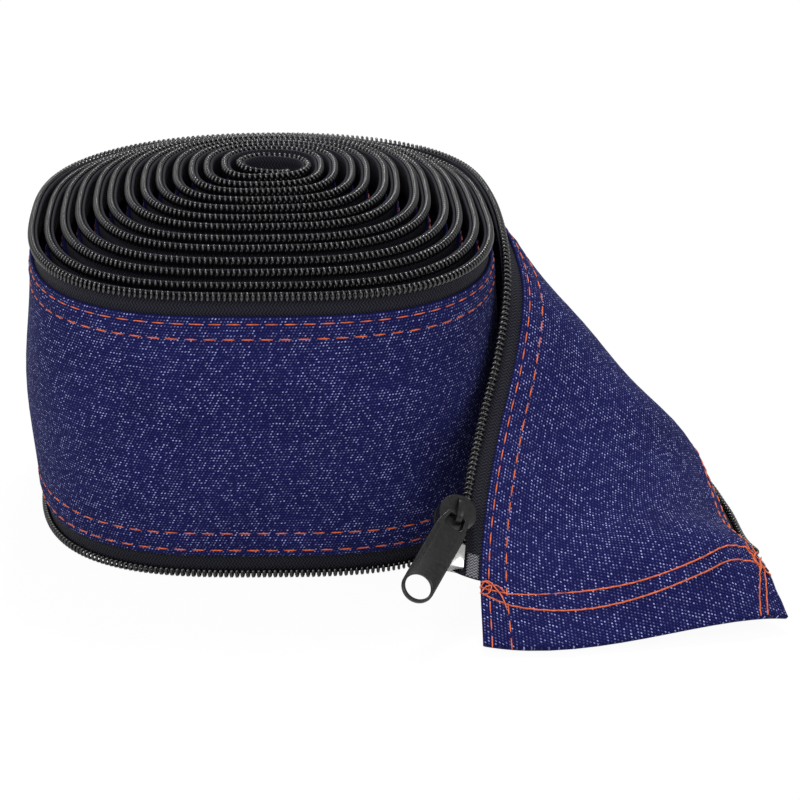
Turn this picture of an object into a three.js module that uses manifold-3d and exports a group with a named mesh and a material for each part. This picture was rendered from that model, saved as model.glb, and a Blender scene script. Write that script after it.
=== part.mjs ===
// Zippered cable sleeve: a long denim strip with one half of a coil zipper along each edge,
// unzipped, rolled up and stood on edge, with its outer end turned down on the table in front.
// Millimetres, +Z up. The roll stands on the coil of the strip's lower edge.
// A place on the strip is a station along it, v across it from its lower edge, and h off its outer face.
import * as THREE from "three";
import { mergeVertices } from "three/addons/utils/BufferGeometryUtils.js";
import Module from "manifold-3d";

// The strip's section
const denim_width = 79.6;
const denim_thickness = 1.2;
const hem_thickness = 2.0;
const hem_length = 16;
const tape_setback = 4;
const tape_show = 4.5;
const tape_lap = 4.5;
const tape_thickness = 0.5;
const coil_width = 3.2;
const coil_thickness = 2.2;
const coil_overhang = 0.9;
const layer_gap = 0.5;
const strip_width = denim_width + 2 * (tape_show + coil_width);

// The roll
const roll_radius = 73.9;
const roll_depth_ratio = 0.93;
const roll_centre_x = -0.7;
const turn_pitch = 4.95;
const turn_count = 12.7;
const leave_angle = 50;
const front_squareness = 3.0;
const back_squareness = 2.3;
const dome_rise = 16.5;
const turn_bulge = 3.2;
const pair_wobble = 0.38;
const slow_wobble = 0.22;
const side_dent = 4.6;
const dent_angle = 18;
const dent_spread = 30;
const dent_turns = 8;

// The free outer end, as four rails in space at these shares of the strip's width
const flap_length = 200;
const rail_places = [0, 4 / 19, 11 / 19, 1];
const upper_rail = [
  [60.3, 38.7, 95.6],
  [67.5, 16.9, 94.6],
  [70.8, -5.5, 89.7],
  [71.4, -26.2, 79.7],
  [68.6, -42, 64.1],
  [63.4, -58, 48.3],
  [59, -75.6, 33.7],
  [56.2, -93.5, 19.2],
  [55.6, -111.2, 3.5],
];
const high_rail = [
  [63.2, 42.2, 56.1],
  [76.2, 24.1, 56.4],
  [90, 6.6, 57.2],
  [100.3, -13.2, 56.3],
  [104.4, -34, 49.9],
  [101.5, -52.4, 37.3],
  [99.6, -72.3, 26.6],
  [101.1, -93.4, 18.2],
  [103.9, -111.1, 1.7],
];
const low_rail = [
  [65.1, 43.3, 21.7],
  [81.8, 27.9, 22.5],
  [98.9, 13.1, 24.4],
  [114.6, -2.9, 26.4],
  [128, -21.2, 28.1],
  [131, -42.6, 22.5],
  [132.6, -64.3, 19.3],
  [137.3, -85.9, 20.9],
  [143.2, -101.6, 4.2],
];
const lower_rail = [
  [64, 41.2, 2.6],
  [82.2, 27, 2.6],
  [100.5, 12.7, 4.3],
  [118.7, -1.2, 7],
  [134.3, -16.9, 9.2],
  [142.7, -37.6, 7.1],
  [146.6, -59.1, 6.8],
  [151.5, -78.4, 9.1],
  [162.1, -97.3, 1.4],
];

// The folded core of the roll, seen from above, from the strip's inner end to the first turn
const core_path = [
  [-2.4, 0.8],
  [2.8, 0.8],
  [4.6, -2.2],
  [0, -4.8],
  [-6.2, -3.8],
  [-8.6, 1.4],
  [-4.6, 5.8],
  [2, 6],
  [8.4, 3.6],
  [11, -1.4],
  [9.4, -6.4],
];

// Zipper hardware, sized along the zipper, across it and off the strip
const slider_length = 11.4;
const slider_plate = 1.1;
const slider_flange = 0.7;
const slider_clearance = 0.6;
const slider_offset = 1.2;
const slider_corner = 2.6;
const divider_width = 1.5;
const divider_length = 3.4;
const box_length = 7.4;
const box_width = 6.2;
const box_wall = 0.8;
const box_standoff = 3;
const box_offset = 0.6;
const pin_length = 12;
const pin_width = 1.7;
const pin_lift = 0.5;
const film_length = 7;
const film_thickness = 0.35;
const stop_share = 0.02;
const crown_length = 8.2;
const crown_width = 1.8;
const crown_height = 3.3;
const crown_wall = 1.15;
const tab_length = 31;
const tab_width = 9;
const tab_thickness = 1.5;
const tab_hole = 6.6;
const tab_neck = 5.2;
const tab_bar = 1.2;
const tab_lift = 2;
const tab_skew = 20;
const tab_slack = 0.95;

const rad = THREE.MathUtils.degToRad;
const tape_depth = layer_gap + tape_thickness;

// Radius of the roll's outline relative to the spiral's own radius, squarer at the front.
function outline(angle) {
  const front = (1 - Math.sin(angle)) / 2;
  const n = back_squareness + (front_squareness - back_squareness) * front;
  const across = Math.abs(Math.cos(angle)) ** n;
  const deep = Math.abs(Math.sin(angle) / roll_depth_ratio) ** n;
  return (across + deep) ** (-1 / n);
}

function ease(x) {
  const t = THREE.MathUtils.clamp(x, 0, 1);
  return t * t * (3 - 2 * t);
}

// The turns are pressed in beside the place where the free end leaves, less and less inwards.
function dent(angle, wind) {
  const turn = 2 * Math.PI;
  const away = THREE.MathUtils.euclideanModulo(angle - rad(dent_angle) + Math.PI, turn) - Math.PI;
  const share = THREE.MathUtils.clamp(1 + wind / (turn * dent_turns), 0, 1);
  return side_dent * Math.exp(-((away / rad(dent_spread)) ** 2)) * share;
}

// Plan point of the spiral: wind is 0 where the strip leaves the roll and falls inwards.
function spiralPoint(wind) {
  const angle = rad(leave_angle) - wind;
  const loose = ease(-wind / (2 * Math.PI) - 1);
  const wobble = pair_wobble * Math.sin(wind / 2 + 1) + slow_wobble * Math.sin(0.37 * wind + 2.2);
  const radius = roll_radius + (turn_pitch * wind) / (2 * Math.PI) + loose * wobble;
  const reach = radius * outline(angle) - dent(angle, wind);
  return new THREE.Vector2(roll_centre_x + reach * Math.cos(angle), reach * Math.sin(angle));
}

// The turns inside the outermost one climb into a low dome.
function rise(wind) {
  const radius = roll_radius + (turn_pitch * wind) / (2 * Math.PI);
  const foot = roll_radius - turn_pitch;
  return radius < foot ? dome_rise * (1 - (radius / foot) ** 2) : 0;
}

function crossBow(v) {
  const t = v / strip_width;
  return 4 * t * (1 - t);
}

// A station of the standing roll from its plan point, heading, height and bulge.
function standing(point, heading, lift, bulge) {
  const out = new THREE.Vector2(-heading.y, heading.x);
  return (v, h) => {
    const off = bulge * crossBow(v) + h;
    return new THREE.Vector3(point.x + out.x * off, point.y + out.y * off, lift + v);
  };
}

function rollStation(wind) {
  const step = 1e-3;
  const heading = spiralPoint(wind + step).sub(spiralPoint(wind - step)).normalize();
  const radius = roll_radius + (turn_pitch * wind) / (2 * Math.PI);
  return standing(spiralPoint(wind), heading, rise(wind), (turn_bulge * radius) / roll_radius);
}

const inner_wind = -2 * Math.PI * turn_count;
const core_curve = new THREE.CatmullRomCurve3(
  [
    ...core_path.map(([x, y]) => new THREE.Vector3(x, y, 0)),
    ...[0, 0.55, 1.1].map((turn) => {
      const p = spiralPoint(inner_wind + turn);
      return new THREE.Vector3(p.x, p.y, 0);
    }),
  ],
  false,
  "centripetal",
);
const core_share = core_path.length / (core_path.length + 2);

function coreStation(share) {
  const t = share * core_share;
  const p = core_curve.getPoint(t);
  const d = core_curve.getTangent(t);
  const heading = new THREE.Vector2(d.x, d.y).normalize();
  const radius = roll_radius - turn_pitch * turn_count;
  const lift = rise(inner_wind) * ease(share + 0.6);
  return standing(new THREE.Vector2(p.x, p.y), heading, lift, (turn_bulge * radius) / roll_radius);
}

// Each rail runs on from the roll, so that the strip leaves it without a break.
function rail(points, v) {
  const knots = points.map((p) => new THREE.Vector3(...p));
  const gap = flap_length / points.length;
  const start = rollStation(0)(v, 0);
  let wind = 0;
  while (rollStation(wind)(v, 0).distanceTo(start) < gap) wind -= 0.01;
  return [rollStation(wind)(v, 0), start, ...knots];
}
const rails = [lower_rail, low_rail, high_rail, upper_rail].map((points, k) => {
  return rail(points, rail_places[k] * strip_width);
});

function alongRail(knots, s) {
  const last = knots.length - 1;
  const place = 1 + (s / flap_length) * (last - 1);
  const i = Math.min(Math.floor(place), last - 1);
  const t = place - i;
  const after = i + 2 > last ? knots[last].clone().multiplyScalar(2).sub(knots[last - 1]) : knots[i + 2];
  const blend = (axis) => {
    const [a, b, c, d] = [knots[i - 1][axis], knots[i][axis], knots[i + 1][axis], after[axis]];
    return b + 0.5 * t * (c - a + t * (2 * a - 5 * b + 4 * c - d + t * (3 * b - a - 3 * c + d)));
  };
  return new THREE.Vector3(blend("x"), blend("y"), blend("z"));
}

// The sheet between the rails is a cubic across the strip.
function flapPoint(s, v) {
  const t = v / strip_width;
  const p = new THREE.Vector3();
  rails.forEach((knots, k) => {
    const others = rail_places.filter((_, j) => j !== k);
    const weight = others.reduce((w, at) => (w * (t - at)) / (rail_places[k] - at), 1);
    p.addScaledVector(alongRail(knots, s), weight);
  });
  return p;
}

function flapFrame(s, v) {
  const step = 0.05;
  const ahead = flapPoint(Math.min(s + step, flap_length), v);
  const behind = flapPoint(Math.max(s - step, 0), v);
  const along = ahead.sub(behind).normalize();
  const up = flapPoint(s, v + step).sub(flapPoint(s, v - step)).normalize();
  const normal = new THREE.Vector3().crossVectors(up, along).normalize();
  return { along, up, normal };
}

function flapStation(s) {
  return (v, h) => flapPoint(s, v).addScaledVector(flapFrame(s, v).normal, h);
}

// Stations run along the strip from its inner end to its hem.
const hem_start = flap_length - hem_length;
const zipper_end = hem_start - tape_setback;
const core_steps = 18;
const turn_steps = 14;
const inner_step = (2 * Math.PI) / turn_steps;
const outer_step = rad(14);
const flap_step = 7;
const outer_reach = 2 * Math.PI * 1.4;

function stations(start, end) {
  const made = [];
  for (let k = 0; k < core_steps; k++) {
    const share = k / core_steps;
    if (share > start) made.push(coreStation(share));
  }
  if (start > 0) made.unshift(coreStation(start));
  else if (!made.length || start === 0) made.unshift(coreStation(0));
  const winds = [];
  let wind = 0;
  while (wind > inner_wind) {
    winds.push(wind);
    wind -= wind > -outer_reach ? outer_step : inner_step;
  }
  winds.reverse().slice(1).forEach((w) => made.push(rollStation(w)));
  const stops = [];
  for (let s = flap_step; s < zipper_end - 2; s += flap_step) stops.push(s);
  stops.push(zipper_end, hem_start, hem_start + hem_length / 2, flap_length);
  stops.filter((s) => s < end - 2).forEach((s) => made.push(flapStation(s)));
  made.push(flapStation(end));
  return made;
}

function flapRun(from, to, count) {
  const gap = (to - from) / count;
  return Array.from({ length: count + 1 }, (_, i) => flapStation(from + gap * i));
}

// A closed solid from a loop of [v, h] corners carried through the stations.
function carry(places, section) {
  const corner = section(0).length;
  const points = places.flatMap((place, i) => section(i).map(([v, h]) => place(v, h)));
  const faces = [];
  for (let i = 0; i < places.length - 1; i++) {
    for (let k = 0; k < corner; k++) {
      const a = i * corner + k;
      const b = i * corner + ((k + 1) % corner);
      faces.push(a, b, a + corner, b, b + corner, a + corner);
    }
  }
  const last = (places.length - 1) * corner;
  const half = corner / 2;
  for (let k = 0; k < half - 1; k++) {
    const [a, b, c, d] = [k, k + 1, corner - 2 - k, corner - 1 - k];
    faces.push(a, d, b, b, d, c);
    faces.push(last + a, last + b, last + d, last + b, last + c, last + d);
  }
  const geometry = new THREE.BufferGeometry();
  const flat = points.flatMap((p) => p.toArray());
  geometry.setAttribute("position", new THREE.Float32BufferAttribute(flat, 3));
  geometry.setIndex(faces);
  return geometry;
}

// A band between two heights across the strip and two depths off it.
function band(places, levels, inner, outer) {
  return carry(places, (i) => [
    ...levels.map((v) => [v, typeof outer === "function" ? outer(i) : outer]),
    ...levels.toReversed().map((v) => [v, inner]),
  ]);
}

const wasm = await Module();
wasm.setup();

function solid(geometry) {
  const plain = geometry.clone();
  plain.deleteAttribute("normal");
  plain.deleteAttribute("uv");
  const merged = mergeVertices(plain, 1e-4);
  return new wasm.Manifold(
    new wasm.Mesh({
      numProp: 3,
      vertProperties: new Float32Array(merged.attributes.position.array),
      triVerts: new Uint32Array(merged.index.array),
    }),
  );
}

function geometryOf(body) {
  const mesh = body.getMesh();
  const geometry = new THREE.BufferGeometry();
  geometry.setAttribute("position", new THREE.Float32BufferAttribute(mesh.vertProperties, 3));
  geometry.setIndex(new THREE.Uint32BufferAttribute(mesh.triVerts, 1));
  return geometry;
}

// A box given by its limits along, across and off the strip.
function block([x0, x1], [y0, y1], [z0, z1]) {
  const g = new THREE.BoxGeometry(x1 - x0, y1 - y0, z1 - z0);
  return solid(g.translate((x0 + x1) / 2, (y0 + y1) / 2, (z0 + z1) / 2));
}

function roundedPlate(x0, x1, half, corner) {
  const s = new THREE.Shape();
  s.moveTo(x0 + corner, -half);
  s.lineTo(x1 - corner, -half);
  s.quadraticCurveTo(x1, -half, x1, -half + corner);
  s.lineTo(x1, half - corner);
  s.quadraticCurveTo(x1, half, x1 - corner, half);
  s.lineTo(x0 + corner, half);
  s.quadraticCurveTo(x0, half, x0, half - corner);
  s.lineTo(x0, -half + corner);
  s.quadraticCurveTo(x0, -half, x0 + corner, -half);
  return s;
}

function raised(shape, z0, z1, segments = 4) {
  const settings = { depth: z1 - z0, bevelEnabled: false, curveSegments: segments };
  const g = new THREE.ExtrudeGeometry(shape, settings);
  return solid(g.translate(0, 0, z0));
}

// Slider body. x runs up the zipper, y out past the coil, z off the strip's outer face.
const channel_half = slider_offset + coil_width + slider_clearance;
const slider_half = channel_half + slider_flange;
const channel_floor = -(tape_depth + slider_clearance);
const channel_roof = coil_thickness + slider_clearance;
const slider_top = channel_roof + slider_plate;

function crown() {
  const s = new THREE.Shape();
  const reach = crown_length / 2;
  s.moveTo(-reach, -slider_plate / 2);
  s.lineTo(reach, -slider_plate / 2);
  s.lineTo(reach, crown_height * 0.35);
  s.quadraticCurveTo(reach * 0.85, crown_height, reach * 0.3, crown_height);
  s.lineTo(-reach * 0.3, crown_height);
  s.quadraticCurveTo(-reach * 0.85, crown_height, -reach, crown_height * 0.35);
  s.lineTo(-reach, -slider_plate / 2);
  const eye = new THREE.Path();
  const inside = reach - crown_wall;
  eye.moveTo(-inside, 0);
  eye.lineTo(inside, 0);
  eye.lineTo(inside, crown_height * 0.3);
  eye.quadraticCurveTo(inside * 0.8, crown_height - crown_wall, inside * 0.25, crown_height - crown_wall);
  eye.lineTo(-inside * 0.25, crown_height - crown_wall);
  eye.quadraticCurveTo(-inside * 0.8, crown_height - crown_wall, -inside, crown_height * 0.3);
  eye.lineTo(-inside, 0);
  s.holes.push(eye);
  const g = new THREE.ExtrudeGeometry(s, { depth: crown_width, bevelEnabled: false, curveSegments: 4 });
  return solid(g.translate(0, 0, -crown_width / 2).rotateX(Math.PI / 2).translate(0, 0, slider_top));
}

function sliderBody() {
  const reach = slider_length / 2;
  const outside = roundedPlate(-reach, reach, slider_half, slider_corner);
  const whole = raised(outside, channel_floor - slider_plate, slider_top);
  const along = [-reach - 1, reach + 1];
  const channel = block(along, [-channel_half, channel_half], [channel_floor, channel_roof]);
  const far = slider_half + 1;
  const slot = block(along, [-far, far], [channel_floor, slider_clearance / 2]);
  const post = block(
    [reach - 1 - divider_length, reach - 1],
    [-divider_width / 2, divider_width / 2],
    [channel_floor - slider_plate / 2, slider_top - slider_plate / 2],
  );
  return whole.subtract(channel).subtract(slot).add(post).add(crown());
}

// Pull tab: a flat bar with a round hole, hung by a cross bar in the crown. It is drawn along -x
// from the bar's axis.
function pullTab() {
  const neck = tab_neck;
  const half = tab_width / 2;
  const s = new THREE.Shape();
  s.moveTo(tab_bar / 2, -half * 0.62);
  s.lineTo(tab_bar / 2, half * 0.62);
  s.lineTo(-neck, half * 0.72);
  s.lineTo(-neck - 2.5, half);
  s.lineTo(-tab_length + half, half);
  s.absarc(-tab_length + half, 0, half, Math.PI / 2, (3 * Math.PI) / 2, false);
  s.lineTo(-neck - 2.5, -half);
  s.lineTo(-neck, -half * 0.72);
  s.lineTo(tab_bar / 2, -half * 0.62);
  const hole = new THREE.Path();
  hole.absarc(-tab_length + half, 0, tab_hole / 2, 0, 2 * Math.PI, true);
  const window = new THREE.Path();
  const side = crown_width / 2 + 0.85;
  window.moveTo(-tab_bar / 2, -side);
  window.lineTo(-neck + 0.6, -side);
  window.lineTo(-neck + 0.6, side);
  window.lineTo(-tab_bar / 2, side);
  window.lineTo(-tab_bar / 2, -side);
  s.holes.push(hole, window);
  const above = block([-tab_bar, tab_bar], [-side, side], [tab_bar / 2, tab_thickness]);
  const below = block([-tab_bar, tab_bar], [-side, side], [-tab_thickness, -tab_bar / 2]);
  const plate = raised(s, -tab_thickness / 2, tab_thickness / 2, 10);
  return plate.subtract(above).subtract(below);
}

// Retainer box: open towards the slider for the pin of the other half, slotted for its own tape.
function retainerBox() {
  const reach = box_length / 2;
  const [left, right] = [slider_offset - box_width * 0.62, slider_offset + box_width * 0.38];
  const floor = -(tape_depth + layer_gap + box_wall);
  const roof = coil_thickness + box_wall;
  const whole = block([-reach, reach], [left, right], [floor, roof]);
  const along = [-reach - 1, reach + 1];
  const tape = block(along, [left - 1, -coil_overhang + layer_gap], [-(tape_depth + layer_gap), 0]);
  const pin_room = [box_offset, box_offset + pin_width + 0.4];
  const pocket = block([-reach + 1.5, reach + 1], pin_room, [-0.4, coil_thickness - 0.2]);
  return whole.subtract(tape).subtract(pocket);
}

const denim_look = new THREE.MeshStandardMaterial({ color: 0x1b2152, roughness: 0.95, metalness: 0 });
const tape_look = new THREE.MeshStandardMaterial({ color: 0x15161a, roughness: 0.9, metalness: 0 });
const coil_look = new THREE.MeshStandardMaterial({ color: 0x0e0f12, roughness: 0.45, metalness: 0 });
const black_metal = new THREE.MeshStandardMaterial({ color: 0x1a1b1e, roughness: 0.4, metalness: 0.3 });
const nickel = new THREE.MeshStandardMaterial({ color: 0xc8c9cc, roughness: 0.25, metalness: 1 });
const film_look = new THREE.MeshStandardMaterial({ color: 0x26272b, roughness: 0.25, metalness: 0 });

const sleeve = new THREE.Group();

function piece(name, geometry, look, parent = sleeve) {
  const mesh = new THREE.Mesh(geometry, look);
  mesh.name = name;
  parent.add(mesh);
  return mesh;
}

const denim_low = coil_width + tape_show;
const denim_high = denim_low + denim_width;
const tape_low = coil_overhang;
const lap_low = denim_low + tape_lap;
const lap_high = denim_high - tape_lap;
const tape_high = strip_width - coil_overhang;
const between = [0.17, 0.38, 0.6, 0.8].map((t) => denim_low + denim_width * t);
const denim_levels = [denim_low, lap_low, ...between, lap_high, denim_high];

const whole_run = stations(0, flap_length);
const hem_from = whole_run.length - 3;
piece(
  "denim_strip",
  band(whole_run, denim_levels, 0, (i) => (i > hem_from ? hem_thickness : denim_thickness)),
  denim_look,
);
const zipper_run = stations(0, zipper_end);
piece("zipper_tape_upper", band(zipper_run, [lap_high, tape_high], -tape_depth, -layer_gap), tape_look);
piece("zipper_tape_lower", band(zipper_run, [tape_low, lap_low], -tape_depth, -layer_gap), tape_look);

const coil_start = 0.05;
const box_start = zipper_end - box_length;
const row_upper = [strip_width - coil_width, strip_width];
const upper_run = stations(coil_start, box_start - layer_gap);
const lower_run = stations(coil_start, zipper_end - pin_length - 2 * layer_gap);
piece("zipper_coil_upper", band(upper_run, row_upper, 0, coil_thickness), coil_look);
piece("zipper_coil_lower", band(lower_run, [0, coil_width], 0, coil_thickness), coil_look);

// A group whose x runs up the zipper, y out past the edge and z off the strip, at s along the flap.
function edgeGroup(s, v, outward, h = 0) {
  const inside = THREE.MathUtils.clamp(v, 0, strip_width);
  const { along, up, normal } = flapFrame(s, inside);
  const x = along.clone().negate();
  const y = up.clone().multiplyScalar(outward).addScaledVector(x, -up.dot(x) * outward).normalize();
  const z = new THREE.Vector3().crossVectors(x, y).normalize();
  const group = new THREE.Group();
  const origin = flapPoint(s, inside).addScaledVector(y, Math.abs(v - inside)).addScaledVector(normal, h);
  group.matrixAutoUpdate = false;
  group.matrix.makeBasis(x, y, z).setPosition(origin);
  sleeve.add(group);
  return group;
}

const box_group = edgeGroup(zipper_end - box_length / 2, strip_width, 1);
piece("retainer_box", geometryOf(retainerBox()), nickel, box_group);

const slider_at = box_start - box_standoff - slider_length / 2;
const slider_group = edgeGroup(slider_at, strip_width + slider_offset, 1);
piece("slider_body", geometryOf(sliderBody()), black_metal, slider_group);

const tab_pivot_z = slider_top + (crown_height - crown_wall) / 2;
const tab_group = new THREE.Group();
tab_group.position.set(-crown_length / 2 + crown_wall + tab_bar / 2 + tab_slack, 0, tab_pivot_z);
tab_group.rotation.set(0, rad(tab_lift), -rad(tab_skew), "ZYX");
slider_group.add(tab_group);
piece("pull_tab", geometryOf(pullTab()), black_metal, tab_group);

const film_run = flapRun(zipper_end - film_length, zipper_end, 3);
const film_upper = [denim_high + layer_gap, strip_width - coil_width - layer_gap];
const film_lower = [coil_width + layer_gap, denim_low - layer_gap];
piece("tape_film_upper", band(film_run, film_upper, 0, film_thickness), film_look);
piece("tape_film_lower", band(film_run, film_lower, 0, film_thickness), film_look);

const stop_run = [0, stop_share].map((share) => coreStation(share));
const stop_rise = coil_thickness + 0.4;
const stop_upper = [strip_width - coil_width, strip_width + 0.4];
piece("top_stop_upper", band(stop_run, stop_upper, 0, stop_rise), nickel);
piece("top_stop_lower", band(stop_run, [0.2, coil_width], 0, stop_rise), nickel);

const pin_group = edgeGroup(zipper_end - pin_length / 2, 0, -1);
const pin_height = coil_thickness - 0.4;
const pin_body = block([-pin_length / 2, pin_length / 2], [-pin_width / 2, pin_width / 2], [0, pin_height]);
piece("insertion_pin", geometryOf(pin_body).translate(0, pin_width / 2, pin_lift), nickel, pin_group);

sleeve.updateMatrixWorld(true);
const bounds = new THREE.Box3().setFromObject(sleeve, true);
const part = new THREE.Group();
sleeve.position.set(-(bounds.min.x + bounds.max.x) / 2, -(bounds.min.y + bounds.max.y) / 2, -bounds.min.z);
part.add(sleeve);

export default part;
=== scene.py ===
"""Looks of the rolled denim cable sleeve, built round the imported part.

The strip is a sheet addressed by place along it, v across it and h off its outer face. Every
soft piece (cloth, tapes, teeth, thread) is laid on that sheet, so all of them share one shape.
"""

import logging
import math
from contextlib import contextmanager
from dataclasses import dataclass
from enum import Enum
from typing import Callable, Iterator, Sequence

import bmesh
import bpy
import numpy as np
from mathutils import Matrix, Vector


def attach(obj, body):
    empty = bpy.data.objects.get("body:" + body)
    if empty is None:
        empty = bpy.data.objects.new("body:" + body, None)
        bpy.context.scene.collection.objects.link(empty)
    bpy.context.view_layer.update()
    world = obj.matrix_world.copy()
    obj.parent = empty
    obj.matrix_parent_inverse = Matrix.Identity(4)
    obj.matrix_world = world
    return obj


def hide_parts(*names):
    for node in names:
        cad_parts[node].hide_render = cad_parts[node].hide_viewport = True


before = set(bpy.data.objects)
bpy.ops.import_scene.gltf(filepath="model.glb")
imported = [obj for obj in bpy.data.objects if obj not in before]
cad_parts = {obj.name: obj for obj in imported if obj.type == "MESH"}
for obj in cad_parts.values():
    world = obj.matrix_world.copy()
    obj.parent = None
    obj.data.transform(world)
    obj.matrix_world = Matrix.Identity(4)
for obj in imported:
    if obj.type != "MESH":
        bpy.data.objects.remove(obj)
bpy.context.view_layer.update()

log = logging.getLogger("sleeve")
logging.basicConfig(level=logging.INFO, format="%(name)s: %(message)s")

MM = 0.001
SHARP_ANGLE = math.radians(40)
# Offset from the roll's own frame to the part's, whose frame is centred on the whole part.
SHIFT = Vector((-0.03933249, 0.02112652, 0.0))

Array = np.ndarray
Socket = bpy.types.NodeSocket


class Body(str, Enum):
    """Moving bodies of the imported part."""

    SLEEVE = "sleeve"
    SLIDER = "slider"
    TAB = "pull_tab"


class Slot(str, Enum):
    """Material slots."""

    DENIM = "denim"
    TAPE = "tape"
    COIL = "coil"
    BLACK_METAL = "black_metal"
    NICKEL = "nickel"
    FILM = "film"


@dataclass(frozen=True)
class StripSizes:
    """Section of the strip, in millimetres."""

    denim_width: float = 79.6
    denim_thickness: float = 1.2
    hem_thickness: float = 2.0
    hem_length: float = 16.0
    tape_setback: float = 4.0
    tape_show: float = 4.5
    tape_lap: float = 4.5
    tape_thickness: float = 0.5
    coil_width: float = 3.2
    coil_thickness: float = 2.2
    coil_overhang: float = 0.9
    pin_length: float = 12.0
    box_length: float = 7.4
    film_length: float = 7.0

    @property
    def width(self) -> float:
        """Whole width over both zipper halves."""
        return self.denim_width + 2 * (self.tape_show + self.coil_width)

    @property
    def denim_low(self) -> float:
        """Height across the strip of the denim's lower edge."""
        return self.coil_width + self.tape_show

    @property
    def denim_high(self) -> float:
        """Height across the strip of the denim's upper edge."""
        return self.denim_low + self.denim_width


@dataclass(frozen=True)
class RollSizes:
    """The wound part of the strip, in millimetres and degrees."""

    radius: float = 73.9
    depth_ratio: float = 0.93
    centre_x: float = -0.7
    pitch: float = 4.95
    turns: float = 12.7
    leave_angle: float = 50.0
    front_squareness: float = 3.0
    back_squareness: float = 2.3
    dome_rise: float = 16.5
    bulge: float = 3.2
    pair_wobble: float = 0.38
    slow_wobble: float = 0.22
    slow_rate: float = 0.37
    wobble_phases: tuple = (1.0, 2.2)
    side_dent: float = 4.6
    dent_angle: float = 18.0
    dent_spread: float = 30.0
    dent_turns: float = 8.0
    tail_winds: tuple = (0.0, 0.55, 1.1)
    core_lift: float = 0.6
    core: tuple = (
        (-2.4, 0.8), (2.8, 0.8), (4.6, -2.2), (0, -4.8), (-6.2, -3.8), (-8.6, 1.4),
        (-4.6, 5.8), (2, 6), (8.4, 3.6), (11, -1.4), (9.4, -6.4),
    )


@dataclass(frozen=True)
class FlapSizes:
    """The free end: its length, and the rails that it lies on at these shares of the width."""

    length: float = 200.0
    places: tuple = (0.0, 4 / 19, 11 / 19, 1.0)
    lower: tuple = (
        (64, 41.2, 2.6), (82.2, 27, 2.6), (100.5, 12.7, 4.3), (118.7, -1.2, 7), (134.3, -16.9, 9.2),
        (142.7, -37.6, 7.1), (146.6, -59.1, 6.8), (151.5, -78.4, 9.1), (162.1, -97.3, 1.4),
    )
    low: tuple = (
        (65.1, 43.3, 21.7), (81.8, 27.9, 22.5), (98.9, 13.1, 24.4), (114.6, -2.9, 26.4),
        (128, -21.2, 28.1), (131, -42.6, 22.5), (132.6, -64.3, 19.3), (137.3, -85.9, 20.9),
        (143.2, -101.6, 4.2),
    )
    high: tuple = (
        (63.2, 42.2, 56.1), (76.2, 24.1, 56.4), (90, 6.6, 57.2), (100.3, -13.2, 56.3),
        (104.4, -34, 49.9), (101.5, -52.4, 37.3), (99.6, -72.3, 26.6), (101.1, -93.4, 18.2),
        (103.9, -111.1, 1.7),
    )
    upper: tuple = (
        (60.3, 38.7, 95.6), (67.5, 16.9, 94.6), (70.8, -5.5, 89.7), (71.4, -26.2, 79.7),
        (68.6, -42, 64.1), (63.4, -58, 48.3), (59, -75.6, 33.7), (56.2, -93.5, 19.2),
        (55.6, -111.2, 3.5),
    )


@dataclass(frozen=True)
class Fineness:
    """How finely the strip is sampled, in rings of its meshes and in points for measuring."""

    core: int = 70
    inner_turn: int = 80
    outer: int = 400
    outer_turns: float = 1.5
    flap: int = 170
    measured: tuple = (600, 16000, 1500)


def ease(x: Array) -> Array:
    """Smooth step from 0 to 1."""
    t = np.clip(x, 0, 1)
    return t * t * (3 - 2 * t)


def unit(a: Array) -> Array:
    """Rows of a scaled to length 1."""
    return a / np.maximum(np.linalg.norm(a, axis=-1, keepdims=True), 1e-12)


def run_along(line: Array) -> Array:
    """Distance of each point of a line from its first point, along the line."""
    return np.concatenate([[0], np.cumsum(np.linalg.norm(np.diff(line, axis=0), axis=1))])


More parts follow.
